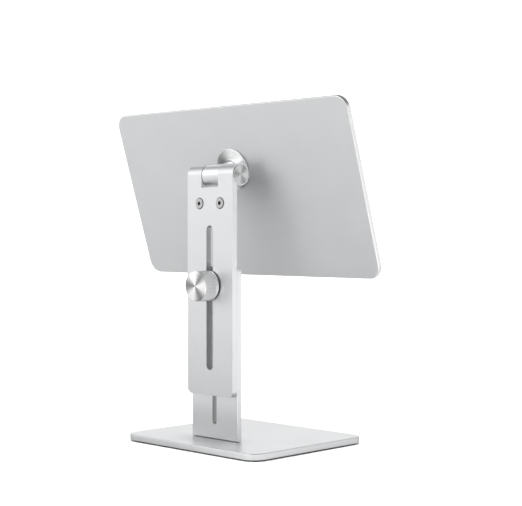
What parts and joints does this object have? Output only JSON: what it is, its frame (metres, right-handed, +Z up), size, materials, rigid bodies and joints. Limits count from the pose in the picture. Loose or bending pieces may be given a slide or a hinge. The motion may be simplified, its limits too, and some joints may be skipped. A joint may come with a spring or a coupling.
{
  "type": "tablet stand",
  "caption": "Height-adjustable magnetic tablet stand: flat base, two slotted post plates with a clamp knob, and a tilting, swivelling magnetic panel.",
  "frame": {"origin": "on the table, under the middle of the base", "axes": "+Z up, -Y to the side of the screen, +Y to the rear where the clamp knob is, X along the hinge"},
  "size_m": [0.2606, 0.127, 0.2699],
  "materials": {
    "satin_aluminium": "fine bead-blasted, silver anodised, satin",
    "turned_aluminium": "turned face with fine circular lines, silver",
    "steel": "bright zinc-plated steel",
    "silicone": "matt dark grey anti-slip silicone",
    "soft_sheet": "matt light grey soft-touch sheet",
    "nylon": "black nylon",
    "magnet": "nickel-plated magnet"
  },
  "bodies": {
    "base": {"base_plate": "satin_aluminium", "base_pad": "silicone", "base_screw_1": "steel", "base_screw_2": "steel", "base_screw_3": "steel", "lower_post": "satin_aluminium", "thread_insert": "steel", "guide_bush": "nylon"},
    "slide_plate": {"upper_post": "satin_aluminium", "guide_screw": "steel", "guide_washer": "nylon", "hinge_key_plate": "steel", "hinge_screw_left": "steel", "hinge_screw_right": "steel", "friction_sleeve_left": "steel", "friction_sleeve_right": "steel", "end_cap_left": "turned_aluminium", "end_cap_right": "turned_aluminium"},
    "clamp_washer": {"knob_washer": "nylon"},
    "knob": {"clamp_knob": "turned_aluminium", "clamp_screw": "steel"},
    "knuckle": {"tilt_knuckle": "satin_aluminium", "hinge_shaft": "steel", "spring_washer_left": "steel", "spring_washer_right": "steel", "shaft_nut_left": "steel", "shaft_nut_right": "steel", "swivel_washer": "nylon", "swivel_bolt": "steel", "bolt_spring_washer": "steel"},
    "panel": {"swivel_disc": "turned_aluminium", "disc_screw_1": "steel", "disc_screw_2": "steel", "disc_screw_3": "steel", "panel_shell": "satin_aluminium", "magnet_tray_left": "nylon", "magnet_tray_right": "nylon", "magnet_left_upper": "magnet", "magnet_left_lower": "magnet", "magnet_left_inner": "magnet", "magnet_left_outer": "magnet", "magnet_right_upper": "magnet", "magnet_right_lower": "magnet", "magnet_right_inner": "magnet", "magnet_right_outer": "magnet", "front_sheet": "soft_sheet"}
  },
  "joints": [
    {"name": "height_slide", "type": "slide", "parent": "base", "child": "slide_plate", "axis": [0, 0, 1], "range_m": [-0.031, 0.062]},
    {"name": "knob_travel", "type": "slide", "parent": "base", "child": "clamp_washer", "axis": [0, 1, 0], "range_m": [0, 0.001]},
    {"name": "knob_turn", "type": "hinge", "parent": "clamp_washer", "child": "knob", "pos_m": [0, 0.0383, 0.1277], "axis": [0, 1, 0], "range_deg": [0, 450]},
    {"name": "tilt", "type": "hinge", "parent": "slide_plate", "child": "knuckle", "pos_m": [0, 0.0292, 0.2147], "axis": [-1, 0, 0], "range_deg": [-17.1, 72.9]},
    {"name": "swivel", "type": "hinge", "parent": "knuckle", "child": "panel", "pos_m": [0, 0.0292, 0.2147], "axis": [0, 0.9558, -0.294], "continuous": true}
  ],
  "couplings": [
    {"joint": "knob_turn", "follows": "knob_travel", "rad_per_m": 7854}
  ]
}
